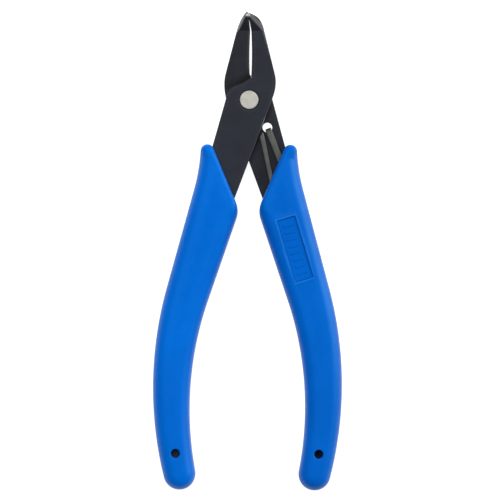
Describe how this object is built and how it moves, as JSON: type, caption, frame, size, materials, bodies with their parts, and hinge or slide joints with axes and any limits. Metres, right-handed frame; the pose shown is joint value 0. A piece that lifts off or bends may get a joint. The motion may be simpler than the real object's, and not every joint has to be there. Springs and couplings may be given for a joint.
{
  "type": "sprue nippers",
  "caption": "Hand nippers with forward-bent cutting tips, lapped stamped steel halves on a flush rivet, a flat return spring and moulded grips.",
  "frame": {"origin": "under the middle of the tool, on the surface that it lies on", "axes": "+Y from the handles to the jaws, +Z out of the tool's front, +X to the right seen from the front"},
  "size_m": [0.0502, 0.127, 0.0098],
  "materials": {
    "blackened_steel": "satin black oxide",
    "rivet_steel": "ground flush",
    "spring_steel": "satin",
    "blue_grip": "smooth satin"
  },
  "bodies": {
    "front_body": {"front_half": "blackened_steel", "left_grip": "blue_grip", "pivot_rivet": "rivet_steel"},
    "rear_body": {"rear_half": "blackened_steel", "right_grip": "blue_grip", "return_spring": "spring_steel"},
    "spring_leg": {"spring_free_leg": "spring_steel"}
  },
  "joints": [
    {"name": "jaw_pivot", "type": "hinge", "parent": "front_body", "child": "rear_body", "pos_m": [0, 0.04022, 0.0045], "axis": [0, 0, 1], "range_deg": [0, 10], "stiffness_Nm_per_rad": 1.2, "springref_deg": 17.19},
    {"name": "spring_flex", "type": "hinge", "parent": "rear_body", "child": "spring_leg", "pos_m": [0.00754, 0.01246, 0.0055], "axis": [0, 0, 1], "range_deg": [0, 6]}
  ],
  "couplings": [
    {"joint": "spring_flex", "follows": "jaw_pivot", "ratio": 0.58}
  ]
}
